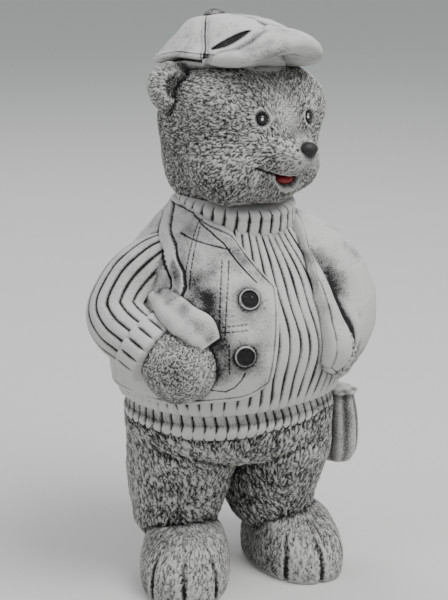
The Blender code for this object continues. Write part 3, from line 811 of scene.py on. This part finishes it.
def makeWaistcoat():
    start, end = waistcoat["rightEdge"], waistcoat["leftEdge"] - 360
    degrees = np.concatenate([
        np.linspace(start, start - 3, count(16))[:-1], np.linspace(start - 3, -72, count(150)),
        np.linspace(-74, -258, count(90)), np.linspace(-260, end + 3, count(120)),
        np.linspace(end + 3, end, count(14))[1:]])
    top, bottom = coatEdge("top", degrees), coatEdge("bottom", degrees)
    s = np.linspace(0, 1, count(215))[:, None]
    height = bottom + (top - bottom) * (0.7 * s + 0.3 * (1 - np.cos(math.pi * s)) / 2)
    slant = np.interp(height, (150, 179, 209), (6.5, 3.5, 0))
    slanted = degrees - slant * bump(degrees, start, 40)
    fromSide = np.minimum(np.abs(degrees - start), np.abs(degrees - end)) * math.radians(1) * 75
    fromEdge = np.minimum(np.minimum(height - bottom, top - height), fromSide)
    roll = np.sqrt(np.clip(1 - (1 - np.clip(fromEdge / 2.6, 0, 1)) ** 2, 0, 1))
    lift = waistcoat["thickness"] * roll + armBulge(slanted + 360, height) - 1.8 * (1 - roll)
    base = torsoSurface(np.radians(slanted), height, lift)
    flat = base.reshape(-1, 3)
    bandAway, _ = lineDistance(flat, lineOnCoat(waistcoat["armholeBand"]))
    fromBand = bandAway - waistcoat["bandHalfWidth"]
    bandLine = ridge(fromBand - 0.2, 0.8)
    marks = np.maximum(0.5 * ridge(fromEdge - 4.2, 0.55).ravel(), coatMarks(flat))
    folds = (0.8 * softNoise(flat, 24, 9) + 0.35 * softNoise(flat, 8, 10)) * ease(fromEdge.ravel(), 0, 5)
    out = 1.3 * (1 - ease(fromBand, -1.2, 0)) - 0.9 * bandLine - 0.75 * marks + folds
    moved = flat + unit(flat * np.array([1, 1, 0.25])) * out[:, None]
    coat = gridPiece("waistcoat", moved.reshape(base.shape), wrap=False, ends=False)
    coat.data.flip_normals()
    # painted shade on the left panel, along the runs and round the buttons, with a painted highlight on the
    # panel
    shade = onPanel(waistcoat["panelShades"], slanted + 360, height).ravel() + coatPaintedShade(flat)
    keep(coat, "clothStone", np.clip(marks + 0.8 * bandLine, 0, 1) + shade)


def coatPaintedShade(points):
    # painted shade along each run
    shade = 0
    for stations, reach, strength in waistcoat["shadeRuns"]:
        shade = shade + strength * bump(lineDistance(points, lineOnCoat(stations))[0], 0, 2 * reach)
    # painted shade round each button
    for place in waistcoat["buttons"].values():
        shade = shade + 0.35 * bump(np.linalg.norm(points - onCoat(*place), axis=-1), 0, 17)
    return shade


def coatMarks(points):
    marks = 0
    for runs, strength, shape in (("stitching", 0.5, (0.45, 2.4, 0.5)), ("seams", 0.7, (0.55, 0.0, 0.0))):
        for run in waistcoat[runs]:
            marks = np.maximum(marks, strength * stampLine(points, lineOnCoat(run), *shape))
    return marks


def makeButtons():
    rows = spread(waistcoat["buttonProfile"], 48)
    angle = circle(count(72))
    radius = waistcoat["buttonDiameter"] / 2
    for name, (degrees, height) in waistcoat["buttons"].items():
        place = onCoat(degrees, height)
        outward = unit(onCoat(degrees, height, 10) - place)
        side = unit(np.cross((0, 0, 1.0), outward))
        ring = np.outer(np.cos(angle), side) + np.outer(np.sin(angle), np.cross(outward, side))
        grid = np.array([place + ring * share * radius + outward * rise * waistcoat["buttonHeight"]
                         for share, rise in rows])
        centre = (1 - ease(rows[:, 0], 0.6, 0.8))[:, None, None]
        grid = grid + 0.45 * softNoise(grid, 2.6, 17)[..., None] * outward * centre
        dark = 0.62 * (1 - ease(rows[:, 0], 0.76, 0.84)) + 0.5 * bump(rows[:, 0], 0.76, 0.16)
        keep(gridPiece(name, grid), "clothStone", withEnds(np.repeat(dark, len(angle)), 0, 1))


# paws and the bunched side of the waistcoat


paws = {
    "rightBalls": [((0, 0, 0), (24.5, 23, 24.5)), ((-6, 8, 2), (18, 18, 18))],
    "rightTurn": -0.9, "rightPlace": (-70, -43, 163), "rightLay": (0.6, -0.3, -0.7),
    "rightHair": {"seed": 31, "strokes": 4200, "length": (1.2, 2.8), "width": (0.5, 0.85),
                  "scatter": 1.0, "bend": 0.05, "depth": 0.85, "lump": 0.6},
    "leftBalls": [((0, 0, 0), (14, 12, 21))],
    "leftTurn": 0.5, "leftPlace": (41, -66, 162), "leftLay": (0, 0, -1.0),
    "leftHair": {"seed": 32, "strokes": 700, "length": (1.4, 3.2), "width": (0.5, 0.85),
                 "scatter": 0.8, "bend": 0.05, "depth": 0.5, "lump": 0.9},
    "foldRoute": [(-66, -14, 204), (-68, -29, 199), (-66, -43, 192), (-61, -53, 185), (-58, -58, 178)],
    "foldRadii": (6, 9, 11, 12, 8), "foldCrease": 2.2,   # radians round the fold
}


def makePaw(side, columns, rows, material):
    balls, turn, place, lay, hair = (paws[side + word] for word in ("Balls", "Turn", "Place", "Lay", "Hair"))
    grid = turned(ballGrid(columns, rows, balls, 6), turn, place)
    lie = unit(np.array(lay))
    furry(gridPiece(side + "Paw", grid), material, hair, lambda p, n: np.tile(lie, (len(p), 1)))


def makeFold():
    along = np.linspace(0, 1, count(90))
    path = evenly(paws["foldRoute"], along)
    angle = circle(count(140))
    crease = angle - paws["foldCrease"]

    def foldShape(angles, share):
        return 1.6 * np.cos(3 * angles + 0.6) - 1.4 * ridge(crease, 0.2)
    grid = tubeGrid(path, evenly(paws["foldRadii"], along), angle, foldShape)
    grid = grid + 0.7 * softNoise(grid, 7, 16)[..., None] * unit(grid - path[:, None])
    # darker in the fold's crease, and painted shade on one side of the fold
    dark = 0.7 * ridge(crease, 0.28) + 0.35 * bump(angle, 1.2, 0.9)
    keep(gridPiece("waistcoatFold", grid), "clothStone", withEnds(np.tile(dark, len(along))))


# hips, legs and feet


lower = {
    "footProfile": [
        (0, 0.94, 0.95), (4, 0.99, 1), (12, 1, 1), (21, 0.97, 0.93), (29, 0.9, 0.76),
        (36, 0.8, 0.52), (41, 0.5, 0.26), (41.8, 0.2, 0.1),
    ],
    "toeEdges": (-28, 0, 28),
    "footHalfWidth": 30.5, "footFront": 53, "footBack": 44,
    "rightFoot": ((-45, -11.5, 0), -0.62),
    "leftFoot": ((35, -23.5, 0), -0.22),
    "voxel": 0.95,
    "legHair": {"seed": 41, "strokes": 15000, "length": (3.4, 8.5), "width": (0.55, 0.95),
                "scatter": 0.34, "bend": 0.06, "depth": 1.3, "lump": 1.3},
    "footHair": {"strokes": 3400, "length": (2.5, 6.5), "width": (0.55, 0.95),
                 "scatter": 0.28, "bend": 0.03, "depth": 0.75, "lump": 0.6},
    # height and share of the full girth of the gathered sack
    "sackProfile": [
        (60, 0.35), (62, 0.7), (70, 0.95), (82, 1), (95, 0.95), (105, 0.85), (110, 0.8),
        (113, 0.95), (115, 0.6),
    ],
    "sackHalfWidth": 13, "sackHalfDepth": 19, "sackPleats": 9, "sackPleatDepth": 1.8,
    "sackTurn": 0.15, "sackPlace": (81, -15, 0),
}


def makeLegs():
    groups = []
    points = []
    start = 0
    columns = 96

    def addStack(rings):
        nonlocal start
        grid = np.array(rings)
        points.append(grid.reshape(-1, 3))
        points.append(np.array([grid[0].mean(axis=0), grid[-1].mean(axis=0)]))
        groups.extend(gridFaces(grid.shape[0], columns, True, True, start))
        start += grid.shape[0] * columns + 2
    angle = circle(columns)
    low, high = figure["hips"][0][0], figure["hips"][-1][0]
    rings = []
    for height in np.linspace(low, high, 40):
        turn = figure["lowerBodyTurn"] * (high - height) / (high - low)
        rings.append(around(angle, sectionRadius(angle - turn, *sectionAt(figure["hips"], height)), height))
    addStack(rings)
    for side in (-1, 1):
        rings = []
        for height in np.linspace(figure["legs"][0][0], figure["legs"][-1][0], 50):
            right, left, half, depth = sectionAt(figure["legs"], height)
            ring = around(angle, sectionRadius(angle, half, depth, depth), height)
            ring[:, 0] += left if side > 0 else -right
            rings.append(turned(ring, figure["lowerBodyTurn"]))
        addStack(rings)
    legs = meshPiece("legs", np.concatenate(points), groups)
    remesh = legs.modifiers.new("remesh", "REMESH")
    remesh.mode = "VOXEL"
    remesh.voxel_size = lower["voxel"] * part / fineness
    depsgraph = bpy.context.evaluated_depsgraph_get()
    whole = bpy.data.meshes.new_from_object(legs.evaluated_get(depsgraph))
    legs.modifiers.clear()
    legs.data = whole
    moveSurface(legs, neighbourMean(legs, surfaceOf(legs)[0], 6))
    furry(legs, "furStone", lower["legHair"], legFlow)
    points, normals = surfaceOf(legs)
    local = turned(points, -figure["lowerBodyTurn"])
    # painted shade on the insides of the legs, between them, and darker towards the bottom of the legs
    betweenLegsShade = ease(-normals[:, 0] * np.sign(local[:, 0]), 0.1, 0.8)
    betweenLegsShade = betweenLegsShade * bump(local[:, 0], 0, 26) * ease(-points[:, 2], -92, -70)
    made[-1][2][:] += 0.9 * betweenLegsShade + 0.3 * ease(-points[:, 2], -60, -34)


def legFlow(points, normals):
    across = np.cross(np.array([0, 0, 1.0]), normals)
    slant = 0.55 * np.sin(points[:, 2] / 26 + points[:, 0] / 30)[:, None]
    return unit(np.array([0, 0, -1.0]) + slant * across + 0.5 * swirl(points, 22, 12))


def makeFoot(name, place, turn, seed):
    angle = circle(count(260))
    angle = angle - 0.25 * np.sin(angle)
    wrapped = np.degrees((angle + math.pi) % (2 * math.pi) - math.pi)
    toes = sum(ridge(wrapped - edge, 2.1) for edge in lower["toeEdges"])
    grid = []
    grooves = []
    for height, share, forward in spread(lower["footProfile"], 100):
        radius = sectionRadius(angle, lower["footHalfWidth"] * share, lower["footFront"] * forward,
                               lower["footBack"] * share)
        fade = 1 - height / 44
        grid.append(turned(around(angle, radius - toes * 3.0 * fade, height), turn, place))
        grooves.append(toes * fade)
    foot = gridPiece(name, np.array(grid))
    ankle = np.array(place, float) + np.array([0, 0, 34.0])

    def footFlow(points, normals):
        return unit((points - ankle) * np.array([1, 1, 0.4]) + np.array([0, 0, -26.0]))
    furry(foot, "furStone", dict(lower["footHair"], seed=seed), footFlow, lambda p: ease(p[:, 2], 0.3, 2))
    own = made[-1][2]
    own[:] = np.maximum(own * 0.8 - 0.12, 0.5 * withEnds(grooves))


def makeSack():
    angle = circle(count(180))
    pleats = 0.5 - 0.5 * np.cos(lower["sackPleats"] * angle + 0.4 * np.sin(2 * angle))
    rows = spread(lower["sackProfile"], 90)
    grid = []
    for height, share in rows:
        depth = lower["sackHalfDepth"] * share
        radius = sectionRadius(angle, lower["sackHalfWidth"] * share, depth, depth)
        radius = radius - lower["sackPleatDepth"] * pleats * share
        grid.append(turned(around(angle, radius, height), lower["sackTurn"], lower["sackPlace"]))
    keep(gridPiece("sack", np.array(grid)), "furStone", withEnds(np.tile(pleats ** 3, len(rows))) * 0.8)


# the dark wash that the carving holds, painted shade in the hollows and where pieces meet, and painted
# highlight on ridges


meetingShadeReach = 3.5     # how far from another piece the painted shade still reaches


def layWashAndShade():
    # painted shade in the hollows of the piece itself and along the lines where one piece meets the next,
    # painted highlight on its ridges, and the dark wash its carving holds
    skins = {}
    for piece, _, _ in made:
        points, normals = surfaceOf(piece)
        faces = [tuple(p.vertices) for p in piece.data.polygons]
        skins[piece.name] = (BVHTree.FromPolygons([tuple(p) for p in points], faces), points, normals)
    for piece, material, grooves in made:
        _, points, normals = skins[piece.name]
        low, high = points.min(axis=0), points.max(axis=0)
        # painted shade near every other piece, strongest where they touch
        meetingShade = np.zeros(len(points))
        for other, (otherTree, otherPoints, _) in skins.items():
            if other == piece.name:
                continue
            otherLow, otherHigh = otherPoints.min(axis=0) - meetingShadeReach, otherPoints.max(axis=0) + meetingShadeReach
            if np.any(otherLow > high) or np.any(otherHigh < low):
                continue
            close = np.all((points > otherLow) & (points < otherHigh), axis=1)
            for i in np.flatnonzero(close):
                away = otherTree.find_nearest(points[i], meetingShadeReach)[3]
                if away is not None:
                    meetingShade[i] = max(meetingShade[i], 1 - away / meetingShadeReach)
        # darker in hollows and lighter on ridges, at a fine and a broad scale: painted shade and painted
        # highlight, and in the carving the dark wash too
        fine, broad = [np.einsum("ij,ij->i", neighbourMean(piece, points, times) - points, normals)
                       for times in (3, 26)]
        look = finishes.get(material, finishes["clothStone"])
        tone = 0.6 * softNoise(points, 26, 21) + 0.4 * softNoise(points, 8, 22)
        washAndShade = (look["washAndShade"] + look["grooves"] * grooves + look["fine"] * fine + look["hollows"] * broad
                + look["meetingShade"] * meetingShade ** 1.5 + look["tone"] * tone)
        store = piece.data.attributes.new("washAndShade", "FLOAT", "POINT")
        store.data.foreach_set("value", np.clip(washAndShade, 0, 1.2).astype(np.float32))


# finishes


def newGroup(name, inputs, outputs):
    group = bpy.data.node_groups.new(name, "ShaderNodeTree")
    for sockets, way in ((inputs, "INPUT"), (outputs, "OUTPUT")):
        for label, kind in sockets.items():
            group.interface.new_socket(label, in_out=way, socket_type="NodeSocket" + kind)
    return group, group.nodes.new("NodeGroupInput").outputs, group.nodes.new("NodeGroupOutput").inputs


def addNode(tree, kind, settings=None, values=None):
    # each value is plain or the socket that feeds it
    node = tree.nodes.new(kind)
    for key, value in (settings or {}).items():
        setattr(node, key, value)
    for key, value in (values or {}).items():
        if isinstance(value, bpy.types.NodeSocket):
            tree.links.new(value, node.inputs[key])
        else:
            node.inputs[key].default_value = value
    return node


def maths(tree, operation, *values):
    return addNode(tree, "ShaderNodeMath", {"operation": operation}, dict(enumerate(values))).outputs[0]


def patches(tree, position, size, detail=3, roughness=0.55):
    # a noise with patches of a width in metres
    return addNode(tree, "ShaderNodeTexNoise", {}, {
        "Vector": position, "Scale": 1 / size, "Detail": detail, "Roughness": roughness}).outputs["Fac"]


def dots(tree, position, size, edge, depth):
    # small spots of the given depth, with a soft edge
    cells = addNode(tree, "ShaderNodeTexVoronoi", {"feature": "F1"}, {"Vector": position, "Scale": 1 / size})
    return addNode(tree, "ShaderNodeMapRange", {}, {
        "Value": cells.outputs["Distance"], "From Min": edge[0], "From Max": edge[1],
        "To Min": depth, "To Max": 0}).outputs["Result"]


def antiqueWashAndShadeGroup():
    # colours the level of dark wash, painted shade and painted highlight, from high through middle to dark,
    # with random speckle, smudges and specks
    group, ins, outs = newGroup("antiqueWashAndShade", {
        "WashAndShade": "Float", "Position": "Vector", "High": "Color", "Middle": "Color", "Dark": "Color",
        "Speckle": "Float", "Smudge": "Float", "Specks": "Float"}, {"Color": "Color"})
    place = ins["Position"]
    specks = dots(group, place, 0.0034, (0.08, 0.2), 1)
    level = maths(group, "MULTIPLY_ADD", specks, ins["Specks"], ins["WashAndShade"])
    for strength, size, detail in (("Speckle", 0.0010, 2), ("Smudge", 0.016, 4)):
        centred = maths(group, "SUBTRACT", patches(group, place, size, detail, 0.6), 0.5)
        level = maths(group, "MULTIPLY_ADD", centred, ins[strength], level)
    colour = ins["High"]
    for darker, low, high in (("Middle", 0.05, 0.55), ("Dark", 0.42, 1.05)):
        ramp = addNode(group, "ShaderNodeMapRange", {"interpolation_type": "SMOOTHSTEP"}, {
            "Value": level, "From Min": low, "From Max": high})
        colour = addNode(group, "ShaderNodeMix", {"data_type": "RGBA"}, {
            "Factor": ramp.outputs["Result"], "A": colour, "B": ins[darker]}).outputs["Result"]
    group.links.new(colour, outs["Color"])
    return group


def stoneGrainGroup():
    group, ins, outs = newGroup("stoneGrain", {"Position": "Vector", "Pits": "Float"},
                                {"Height": "Float", "Roughness": "Float"})
    place = ins["Position"]
    grain = patches(group, place, 0.0009, 4, 0.65)
    pits = dots(group, place, 0.0042, (0.06, 0.17), -1)
    rough = addNode(group, "ShaderNodeMapRange", {}, {"Value": grain, "To Min": 0.72, "To Max": 0.95})
    group.links.new(maths(group, "MULTIPLY_ADD", pits, ins["Pits"], grain), outs["Height"])
    group.links.new(rough.outputs["Result"], outs["Roughness"])
    return group


# stone colours from high to dark; random speckle, smudge, specks and pits; and the weights of the level: its
# base, the carved grooves, fine and broad hollows and ridges that carry painted shade and painted highlight,
# painted shade where pieces meet, and random tone
finishes = {
    "furStone": {"high": (0.50, 0.49, 0.475, 1), "middle": (0.19, 0.185, 0.18, 1),
                 "dark": (0.012, 0.011, 0.011, 1),
                 "speckle": 1.3, "smudge": 0.45, "specks": 0.3, "pits": 0.8, "bump": 0.8,
                 "washAndShade": 0.44, "grooves": 0.26, "fine": 0.36, "hollows": 0.6, "meetingShade": 0.5, "tone": 0.2},
    "knitStone": {"high": (0.56, 0.55, 0.54, 1), "middle": (0.30, 0.295, 0.285, 1),
                  "dark": (0.015, 0.014, 0.014, 1),
                  "speckle": 1.0, "smudge": 0.5, "specks": 0.25, "pits": 0.6, "bump": 0.6,
                  "washAndShade": 0.28, "grooves": 0.95, "fine": 0.8, "hollows": 0.6, "meetingShade": 0.2, "tone": 0.3},
    "clothStone": {"high": (0.54, 0.535, 0.52, 1), "middle": (0.28, 0.275, 0.27, 1),
                   "dark": (0.015, 0.014, 0.014, 1),
                   "speckle": 0.9, "smudge": 1.0, "specks": 0.4, "pits": 0.8, "bump": 0.5,
                   "washAndShade": 0.27, "grooves": 0.9, "fine": 0.9, "hollows": 0.7, "meetingShade": 0.55, "tone": 0.5},
}
paints = {
    "eyeBlack": {"color": (0.006, 0.006, 0.006, 1), "roughness": 0.12, "patchy": 0.2},
    "noseBlack": {"color": (0.008, 0.008, 0.008, 1), "roughness": 0.6, "patchy": 0.2},
    "tongueRed": {"color": (0.22, 0.005, 0.008, 1), "roughness": 0.5, "patchy": 0.1},
    # a painted highlight: the white of the glint on each eye
    "glintWhite": {"color": (0.85, 0.85, 0.85, 1), "roughness": 0.4, "patchy": 0},
}


def newMaterial(name):
    material = bpy.data.materials.new(name)
    material.use_nodes = True
    return material, material.node_tree, material.node_tree.nodes["Principled BSDF"].inputs


def stoneMaterial(name, look, washAndShadeGroup, grainGroup):
    material, tree, shader = newMaterial(name)
    place = addNode(tree, "ShaderNodeTexCoord").outputs["Object"]
    washAndShade = addNode(tree, "ShaderNodeAttribute", {"attribute_name": "washAndShade", "attribute_type": "GEOMETRY"})
    antique = addNode(tree, "ShaderNodeGroup", {"node_tree": washAndShadeGroup}, {
        "WashAndShade": washAndShade.outputs["Fac"], "Position": place, "High": look["high"], "Middle": look["middle"],
        "Dark": look["dark"], "Speckle": look["speckle"], "Smudge": look["smudge"], "Specks": look["specks"]})
    grain = addNode(tree, "ShaderNodeGroup", {"node_tree": grainGroup}, {
        "Position": place, "Pits": look["pits"]})
    relief = addNode(tree, "ShaderNodeBump", {}, {
        "Height": grain.outputs["Height"], "Strength": look["bump"], "Distance": 0.0006})
    tree.links.new(antique.outputs["Color"], shader["Base Color"])
    tree.links.new(grain.outputs["Roughness"], shader["Roughness"])
    tree.links.new(relief.outputs["Normal"], shader["Normal"])
    shader["Specular IOR Level"].default_value = 0.25
    return material


def paintMaterial(name, look):
    material, tree, shader = newMaterial(name)
    place = addNode(tree, "ShaderNodeTexCoord").outputs["Object"]
    gain, lift = 1 + 1.4 * look["patchy"], 0.03 * look["patchy"]
    bright = tuple(min(1, c * gain + lift) for c in look["color"][:3]) + (1,)
    blend = addNode(tree, "ShaderNodeMix", {"data_type": "RGBA"}, {
        "Factor": patches(tree, place, 0.0022), "A": look["color"], "B": bright})
    tree.links.new(blend.outputs["Result"], shader["Base Color"])
    shader["Roughness"].default_value = look["roughness"]
    return material


# studio


studio = {
    "azimuth": -36, "distance": 1.207, "rise": 0.513, "pitch": 15.157,
    "sensor": 36,
    "lensHeights": 3.1,       # focal length in heights of the picture
    "pictureHeight": 600,     # pixels
    "aimPixels": 5,           # the figure's axis stands this far right of the middle
    "floorSize": 14, "floorColor": (0.62, 0.62, 0.6, 1), "floorRoughness": 0.9,
    "skyColor": (0.93, 0.97, 1.0, 1), "skyStrength": 0.55,
    "lightsAim": 0.55,        # share of the figure's height
    # azimuth and rise in degrees, distance, size and power
    "lights": {"keyLight": (20, 58, 1.5, 0.9, 26), "fillLight": (-100, 30, 1.8, 1.2, 7),
               "backLight": (160, 45, 1.8, 0.8, 12)},
}


def towards(azimuth, rise):
    a, e = math.radians(azimuth), math.radians(rise)
    return Vector((math.sin(a) * math.cos(e), -math.cos(a) * math.cos(e), math.sin(e)))


def stand(name, data, place=(0, 0, 0), back=None):
    # puts an object in the scene, with its back to a direction
    thing = bpy.data.objects.new(name, data)
    bpy.context.scene.collection.objects.link(thing)
    if back:
        thing.matrix_world = Matrix.Translation(place) @ back.to_track_quat("Z", "Y").to_matrix().to_4x4()
    return thing


def makeCamera():
    data = bpy.data.cameras.new("camera")
    data.sensor_fit = "VERTICAL"
    data.sensor_height = studio["sensor"]
    data.lens = studio["sensor"] * studio["lensHeights"]
    data.shift_x = -studio["aimPixels"] / studio["pictureHeight"]
    place = towards(studio["azimuth"], 0) * studio["distance"] + Vector((0, 0, studio["rise"]))
    back = towards(studio["azimuth"], studio["pitch"])
    bpy.context.scene.camera = stand("camera", data, place + Vector(axisShift * part), back)


def makeFloor():
    mesh = bpy.data.meshes.new("floor")
    half = studio["floorSize"] / 2
    corners = [(-half, -half, 0), (half, -half, 0), (half, half, 0), (-half, half, 0)]
    mesh.from_pydata(corners, [], [(0, 1, 2, 3)])
    stand("floor", mesh)
    material, _, shader = newMaterial("paleFloor")
    shader["Base Color"].default_value = studio["floorColor"]
    shader["Roughness"].default_value = studio["floorRoughness"]
    mesh.materials.append(material)


def makeLight():
    world = bpy.data.worlds.new("softRoom")
    bpy.context.scene.world = world
    world.use_nodes = True
    sky = world.node_tree.nodes["Background"].inputs
    sky["Color"].default_value = studio["skyColor"]
    sky["Strength"].default_value = studio["skyStrength"]
    aim = Vector((0, 0, figure["height"] * studio["lightsAim"]))
    for name, (azimuth, rise, away, size, power) in studio["lights"].items():
        light = bpy.data.lights.new(name, "AREA")
        light.size = size
        light.energy = power
        back = towards(azimuth, rise)
        stand(name, light, aim + back * away, back)


# putting it together


def makeStatue():
    makeHead()
    makeEar(-1)
    makeEar(1)
    makeNoseAndEyes()
    makeTongue()
    print("head done")
    makeCapCrown()
    makeCapVisor()
    makeCapButton()
    print("cap done")
    makeTorso()
    makeWelt()
    makeCollar()
    makeSleeve("rightSleeve", figure["rightArm"], figure["rightArmRadii"])
    makeSleeve("leftSleeve", figure["leftArm"], figure["leftArmRadii"])
    makeCuff()
    print("jumper done")
    makeWaistcoat()
    makeButtons()
    makeFold()
    print("waistcoat done")
    makePaw("right", 220, 140, "furStone")
    makePaw("left", 120, 90, "knitStone")
    makeLegs()
    makeFoot("rightFoot", *lower["rightFoot"], 51)
    makeFoot("leftFoot", *lower["leftFoot"], 52)
    makeSack()
    print("paws, legs and sack done")


def dressStatue():
    layWashAndShade()
    print("wash laid")
    washAndShadeGroup = antiqueWashAndShadeGroup()
    grainGroup = stoneGrainGroup()
    materials = {name: stoneMaterial(name, look, washAndShadeGroup, grainGroup) for name, look in finishes.items()}
    materials.update({name: paintMaterial(name, look) for name, look in paints.items()})
    for piece, material, _ in made:
        piece.data.materials.clear()
        piece.data.materials.append(materials[material])
        piece.data.shade_smooth()
        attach(piece, "root")
        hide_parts("bear")
    triangles = [sum(len(p.vertices) - 2 for p in piece.data.polygons) for piece, _, _ in made]
    for (piece, _, _), number in zip(made, triangles):
        print("  ", piece.name, number)
    print("triangles in all", sum(triangles), "most in one piece", max(triangles))


makeCamera()
makeFloor()
makeLight()
makeStatue()
dressStatue()
